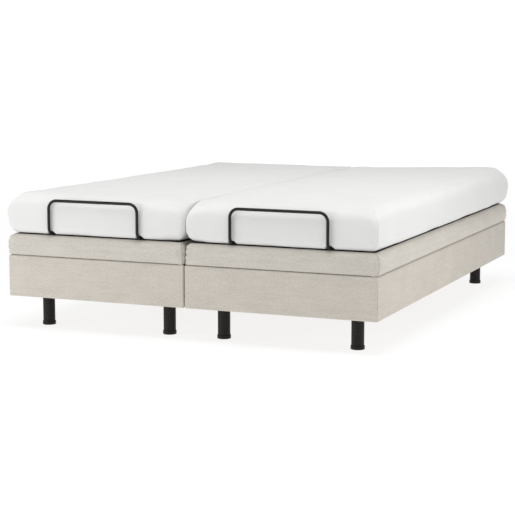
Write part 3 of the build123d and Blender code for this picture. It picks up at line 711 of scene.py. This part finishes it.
def finish_deck(points, normals, seam, seed):
    """Seams and creases of the deck upholstery, and the pocket under it for the panels."""
    low_z, high_z = DECK_LOW.z, DECK_HIGH.z
    height = (points[:, 2] - low_z) / (high_z - low_z)
    free = smooth_step(height, 0.02, 0.2) * smooth_step(height, 1.0, 0.92)
    creases = fractal(points, (0.16, 0.16, 0.018), seed) * 0.0009
    uneven = fractal(points, (0.22, 0.22, 0.10), seed + 5) * 0.0012
    corner = np.hypot(HALF_WIDTH - np.abs(points[:, 0]),
                      abs(DECK_LOW.y) - np.abs(points[:, 1]))
    pucker = 0.0018 * np.sin(points[:, 2] * 270 + 40 * corner) * np.exp(-(corner / 0.030) ** 2)
    points = points + normals * ((creases + uneven + pucker) * free - DECK_SEAM * seam)[:, None]
    x, y, z = points.T
    # The upper edge sags in waves, and the lower one hangs a little over the box's rim.
    rim = 1 - smooth_step(edge_inset(points, DECK_LOW, DECK_HIGH), 0.004, 0.022)
    wave = np.maximum(0, fractal(points * [1, 1, 0], (0.36, 0.36, 1), seed + 8)) * DECK_WAVE
    z = z - wave * rim * smooth_step(height, 0.6, 1.0)
    z = z - DECK_HEM * rim * (1 - smooth_step(height, 0.0, 0.4))
    waist = np.sin(np.pi * np.clip(height, 0, 1))
    x = np.where(x > 0, x + DECK_BULGE * waist * smooth_step(x, 0.3, 0.39), x)
    x = np.maximum(x, -(HALF_WIDTH + DECK_ROOM))
    # The pocket is deeper where the bend lags behind the stiff back section, at its full travel.
    in_pocket = ((np.abs(x) < POCKET_X + 0.0014) & (np.abs(y) < POCKET_Y + 0.0014)
                 & (z < low_z + 0.004))
    bend = smooth_step(y, *BACK_BEND)
    room = np.maximum(0, y - BACK_HINGE_Y) * np.sin(BACK_TRAVEL * (1 - bend))
    z = np.where(in_pocket, PANEL_HIGH.z + 0.0005 + room, z)
    return np.column_stack([x, y, z])


# Each soft piece: its name's end, its reach along the bed, the two bodies it bends between, where
# it bends, and the CAD sections it stands for.
BENDS = (
    ("foot", (-BEYOND, THIGH_CUT), "{0}_thigh", "{0}_calf", KNEE_BEND, ("calf",)),
    ("middle", (THIGH_CUT, SEAT_CUT), "root", "{0}_thigh", THIGH_BEND, ("thigh", "seat")),
    ("head", (SEAT_CUT, BEYOND), "root", "{0}_back", BACK_BEND, ("back",)),
)


def fit_to_unit(form, side, finish, *settings):
    """A copy of a form in its unit: finished, and mirrored so that +x is the bed's outside."""
    piece = add_object(form.name + "_" + side, form.data.copy())
    points = finish(points_of(form), normals_of(form), weights_of(form, "seam"), *settings)
    points[:, 0] = points[:, 0] * SIDES[side] + UNIT_X[side]
    move_points(piece, points)
    if SIDES[side] < 0:
        piece.data.flip_normals()
    return piece


def cut_into_sections(whole, side, kind):
    """The soft piece as three closed pieces, cut where they follow one body only."""
    for part, (low, high), body_a, body_b, (start, end), sections in BENDS:
        name = f"{side}_{kind}_{part}"
        piece = add_object(name, whole.data.copy())
        piece.data.name = name
        mesh = bmesh.new()
        mesh.from_mesh(piece.data)
        outside = [f for f in mesh.faces if not low < f.calc_center_median().y < high]
        bmesh.ops.delete(mesh, geom=outside, context="FACES")
        for cut in (low, high):
            rim = [v for v in mesh.verts if v.is_boundary and abs(v.co.y - cut) < 0.02]
            for v in rim:
                v.co.y = cut
            edges = [e for e in mesh.edges if e.is_boundary and all(v in rim for v in e.verts)]
            if edges:
                for e in edges:
                    e.smooth = False
                bmesh.ops.contextual_create(mesh, geom=edges)
        bmesh.ops.recalc_face_normals(mesh, faces=mesh.faces)
        mesh.to_mesh(piece.data)
        mesh.free()
        body_a, body_b = body_a.format(side), body_b.format(side)
        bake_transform(piece)
        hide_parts(*(f"{side}_{section}_{kind}" for section in sections))
    bpy.data.objects.remove(whole)


# Each mattress's crown and bulge, both at the foot and at the head.
PLUMPNESS = {"left": ((0.009, -0.002), (0.013, 0.006)),
             "right": ((0.002, 0.017), (-0.001, 0.014))}


def make_mattresses():
    form = mattress_form()
    for seed, side in enumerate(SIDES):
        whole = fit_to_unit(form, side, finish_mattress, seed, *PLUMPNESS[side])
        cut_into_sections(whole, side, "mattress")
    bpy.data.objects.remove(form)


NON_SLIP_INSET, SHARP_ANGLE = 0.016, 55


def make_decks():
    form = deck_form()
    for seed, side in enumerate(SIDES):
        whole = fit_to_unit(form, side, finish_deck, seed + 11)
        whole.data.materials.append(MATERIALS["non_slip"])
        inside = weights_of(whole, "inside")
        for face in whole.data.polygons:
            face.material_index = int(min(inside[v] for v in face.vertices) > NON_SLIP_INSET)
        whole.data.set_sharp_from_angle(angle=math.radians(SHARP_ANGLE))
        cut_into_sections(whole, side, "pad")
    bpy.data.objects.remove(form)


# ---- Box cover -----------------------------------------------------------------------------

COVER_THICKNESS, COVER_CORNER, CORNER_STEPS, COVER_SEAM = 0.0018, 0.006, 6, 0.0007
# The turned-in edges, from their free end outwards: how far in, and how far from the end's plane.
TURN_IN = ((0.019, 0.0012), (0.010, 0.0002), (0.006, 0.0),
           (0.0030, 0.0010), (0.0010, 0.0032), (0.0, 0.0065))


def outline(half_x, half_y, r, lines_x, lines_y):
    """One turn round a rectangle with round corners, and which of its points are the corners."""
    turn, on_corner = [], []
    for number, (lines, sx, sy) in enumerate(((lines_x, 1, -1), (lines_y, 1, 1),
                                              (lines_x, -1, 1), (lines_y, -1, -1))):
        for t in lines:
            if number % 2 == 0:
                turn.append((sx * t * (half_x - r), sy * half_y))
            else:
                turn.append((sx * half_x, sy * t * (half_y - r)))
        centre = (sx * (half_x - r), sy * (half_y - r))
        begin = math.radians(-90 + 90 * number)
        for step in range(1, CORNER_STEPS):
            angle = begin + math.radians(90) * step / CORNER_STEPS
            turn.append((centre[0] + r * math.cos(angle), centre[1] + r * math.sin(angle)))
            if 2 * step == CORNER_STEPS:
                on_corner.append(len(turn) - 1)
    return np.array(turn), on_corner


def cover_sheet(half_x, half_y, low_z, high_z):
    """The box cover about x = 0, y = 0: points, quads, places, flat size, and the corner points."""
    levels = [(inset, low_z + rise) for inset, rise in TURN_IN]
    levels += [(0.0, z) for z in np.linspace(low_z + 0.013, high_z - 0.013, 18)]
    levels += [(inset, high_z - rise) for inset, rise in reversed(TURN_IN)]
    # Where the sheet's upright lines stand, as shares of each half side.
    lines_x = graded(-1, 1, 0.012, 0.045)
    lines_y = graded(-1, 1, 0.006, 0.018)
    points = []
    for inset, z in levels:
        turn, on_corner = outline(half_x - inset, half_y - inset,
                                  max(COVER_CORNER - inset, 0.0012), lines_x, lines_y)
        points.append(np.column_stack([turn, np.full(len(turn), z)]))
    count = len(turn)
    widest = points[len(TURN_IN)]
    steps = np.linalg.norm(np.diff(np.vstack([widest, widest[:1]]), axis=0), axis=1)
    around = np.concatenate([[0], np.cumsum(steps)])
    flat_z = np.concatenate([[0], np.cumsum([math.hypot(b[0] - a[0], b[1] - a[1])
                                             for a, b in zip(levels, levels[1:])])])
    quads, places = [], []
    for row in range(len(levels) - 1):
        for k in range(count):
            after = (k + 1) % count
            quads.append([row * count + k, row * count + after,
                          (row + 1) * count + after, (row + 1) * count + k])
            places += [(around[k], flat_z[row]), (around[k + 1], flat_z[row]),
                       (around[k + 1], flat_z[row + 1]), (around[k], flat_z[row + 1])]
    corner = np.isin(np.arange(count * len(levels)) % count, on_corner)
    return np.vstack(points), quads, places, (float(flat_z[-1]), float(around[-1])), corner


def make_box_cover(side, seed):
    """Upholstery stretched over the box boards, turned in at the top and bottom edge."""
    low_z, high_z = COVER_LOW.z, COVER_HIGH.z
    half_x, half_y = HALF_WIDTH, (COVER_HIGH.y - COVER_LOW.y) / 2
    points, quads, places, flat, corner = cover_sheet(half_x, half_y, low_z, high_z)
    x, y, z = points.T
    middle = np.sin(np.pi * np.clip((z - low_z) / (high_z - low_z), 0, 1)) ** 0.7
    out_x = smooth_step(np.abs(x), half_x - 0.012, half_x - 0.001) * np.sign(x)
    out_y = smooth_step(np.abs(y), half_y - 0.012, half_y - 0.001) * np.sign(y)
    spread_x, spread_y = 1 - (y / half_y) ** 6, 1 - (x / half_x) ** 6
    creases = fractal(points + [0, 0, 3 * seed], (0.30, 0.30, 0.05), seed) * 0.0007
    soft = fractal(points + [5, 0, 3 * seed], (0.40, 0.40, 0.12), seed) * 0.0009
    push = (0.0016 + creases + soft) * middle
    # The inner side stays clear of the other box.
    push_x = np.where(x > 0, push, np.minimum(push, 0.0012))
    points[:, 0] += out_x * spread_x * push_x
    points[:, 1] += out_y * spread_y * push
    points[:, 0] -= COVER_SEAM * corner * middle * np.sign(x)
    points[:, 1] -= COVER_SEAM * corner * middle * np.sign(y)
    points[:, 0] = points[:, 0] * SIDES[side] + UNIT_X[side]
    points[:, 1] += (COVER_LOW.y + COVER_HIGH.y) / 2
    if SIDES[side] < 0:
        quads = [list(reversed(q)) for q in quads]
        places = [p for k in range(0, len(places), 4) for p in reversed(places[k:k + 4])]
    piece = new_piece(f"{side}_box_upholstery", points, quads, places, "box_fabric")
    thick = piece.modifiers.new("thickness", "SOLIDIFY")
    thick.thickness, thick.offset = COVER_THICKNESS, -1
    bake_modifiers(piece)
    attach(piece, "root")
    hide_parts(f"{side}_box_cover")


# ---- Camera, light, floor ------------------------------------------------------------------

# The camera as solved from the photo. The angles say where it stands, seen from what it looks at.
CAMERA_PLACE = (2.48797, -6.16317, 1.13249)
CAMERA_AZIMUTH, CAMERA_ELEVATION = 22.8419, 7.9649
CAMERA_LENS, CAMERA_SENSOR = 103.53, 36
WORLD_STRENGTH = 0.24
# Each light: its name, its place, where it points, its size, and its power in watts.
LIGHTS = (
    ("front_left", (-1.9, -2.8, 0.6), (-0.5, -1.0, 0.25), (1.8, 1.0), 18),
    ("right", (2.2, -0.7, 0.9), (0.8, -0.6, 0.3), (1.2, 1.0), 8.5),
    ("overhead", (0.2, -0.9, 4.2), (0.1, -0.5, 0.5), (3.0, 3.0), 134),
)
# The bowl: rings on the flat floor, the curve up from the last one, and the top of its wall.
FLOOR_RINGS, FLOOR_CURVE, WALL_TOP = (2.0, 4.5, 7.0, 9.5), 2.5, 4.4


def set_up(thing, place, backward):
    """Puts a camera or a light at a place, with backward pointing away from what it looks at."""
    thing.location = place
    thing.rotation_mode = "QUATERNION"
    thing.rotation_quaternion = backward.to_track_quat("Z", "Y")


def make_camera():
    camera = add_object("camera", bpy.data.cameras.new("camera"))
    azimuth, elevation = math.radians(CAMERA_AZIMUTH), math.radians(CAMERA_ELEVATION)
    set_up(camera, CAMERA_PLACE, Vector((math.sin(azimuth) * math.cos(elevation),
                                         -math.cos(azimuth) * math.cos(elevation),
                                         math.sin(elevation))))
    camera.data.sensor_width = CAMERA_SENSOR
    camera.data.lens = CAMERA_LENS
    camera.data.clip_end = 100
    bpy.context.scene.camera = camera


def make_light():
    world = bpy.data.worlds.new("studio")
    world.use_nodes = True
    world.node_tree.nodes["Background"].inputs["Color"].default_value = (1, 1, 1, 1)
    world.node_tree.nodes["Background"].inputs["Strength"].default_value = WORLD_STRENGTH
    bpy.context.scene.world = world
    for name, place, target, size, power in LIGHTS:
        lamp = bpy.data.lights.new(name, "AREA")
        lamp.shape = "RECTANGLE"
        lamp.size, lamp.size_y = size
        lamp.energy = power
        lamp_object = add_object(name, lamp)
        lamp_object.visible_camera = False
        set_up(lamp_object, place, Vector(place) - Vector(target))


def make_floor():
    """A round floor that curves up into a wall all round, so every side has the same backdrop."""
    edge = FLOOR_RINGS[-1]
    rings = [(r, 0.0) for r in FLOOR_RINGS]
    rings += [(edge + FLOOR_CURVE * math.sin(a), FLOOR_CURVE - FLOOR_CURVE * math.cos(a))
              for a in (math.radians(15 * k) for k in range(1, 7))]
    rings += [(edge + FLOOR_CURVE, WALL_TOP)]
    made = bmesh.new()
    centre = made.verts.new((0, 0, 0))
    turns = [math.radians(5 * k) for k in range(72)]
    loops = [[made.verts.new((r * math.cos(t), r * math.sin(t), z)) for t in turns]
             for r, z in rings]
    for k in range(len(turns)):
        made.faces.new((centre, loops[0][k - 1], loops[0][k]))
        for near, far in zip(loops, loops[1:]):
            made.faces.new((near[k - 1], far[k - 1], far[k], near[k]))
    floor_mesh = bpy.data.meshes.new("floor")
    made.to_mesh(floor_mesh)
    made.free()
    floor_mesh.shade_smooth()
    floor = add_object("floor", floor_mesh)
    s = Shader("floor_paint")
    grain = s.noise(s.object_place(), 3.0, 4.0, 0.6)
    white = s.mix(grain, (0.17, 0.17, 0.17, 1), (0.20, 0.20, 0.20, 1))
    away = s.node("VectorMath", {0: s.object_place()}, operation="LENGTH").outputs["Value"]
    glow = s.ramp(away, 2.0, 8.0, 0.84, 0.95)
    floor_mesh.materials.append(s.surface(Base_Color=white, Roughness=0.9, Specular_IOR_Level=0.1,
                                          Emission_Color=(1, 1, 1, 1), Emission_Strength=glow))


bpy.context.scene.view_settings.view_transform = "Standard"
make_camera()
make_light()
make_floor()
dress_cad_nodes()
make_mattresses()
make_decks()
for seed, side in enumerate(SIDES):
    make_box_cover(side, seed)
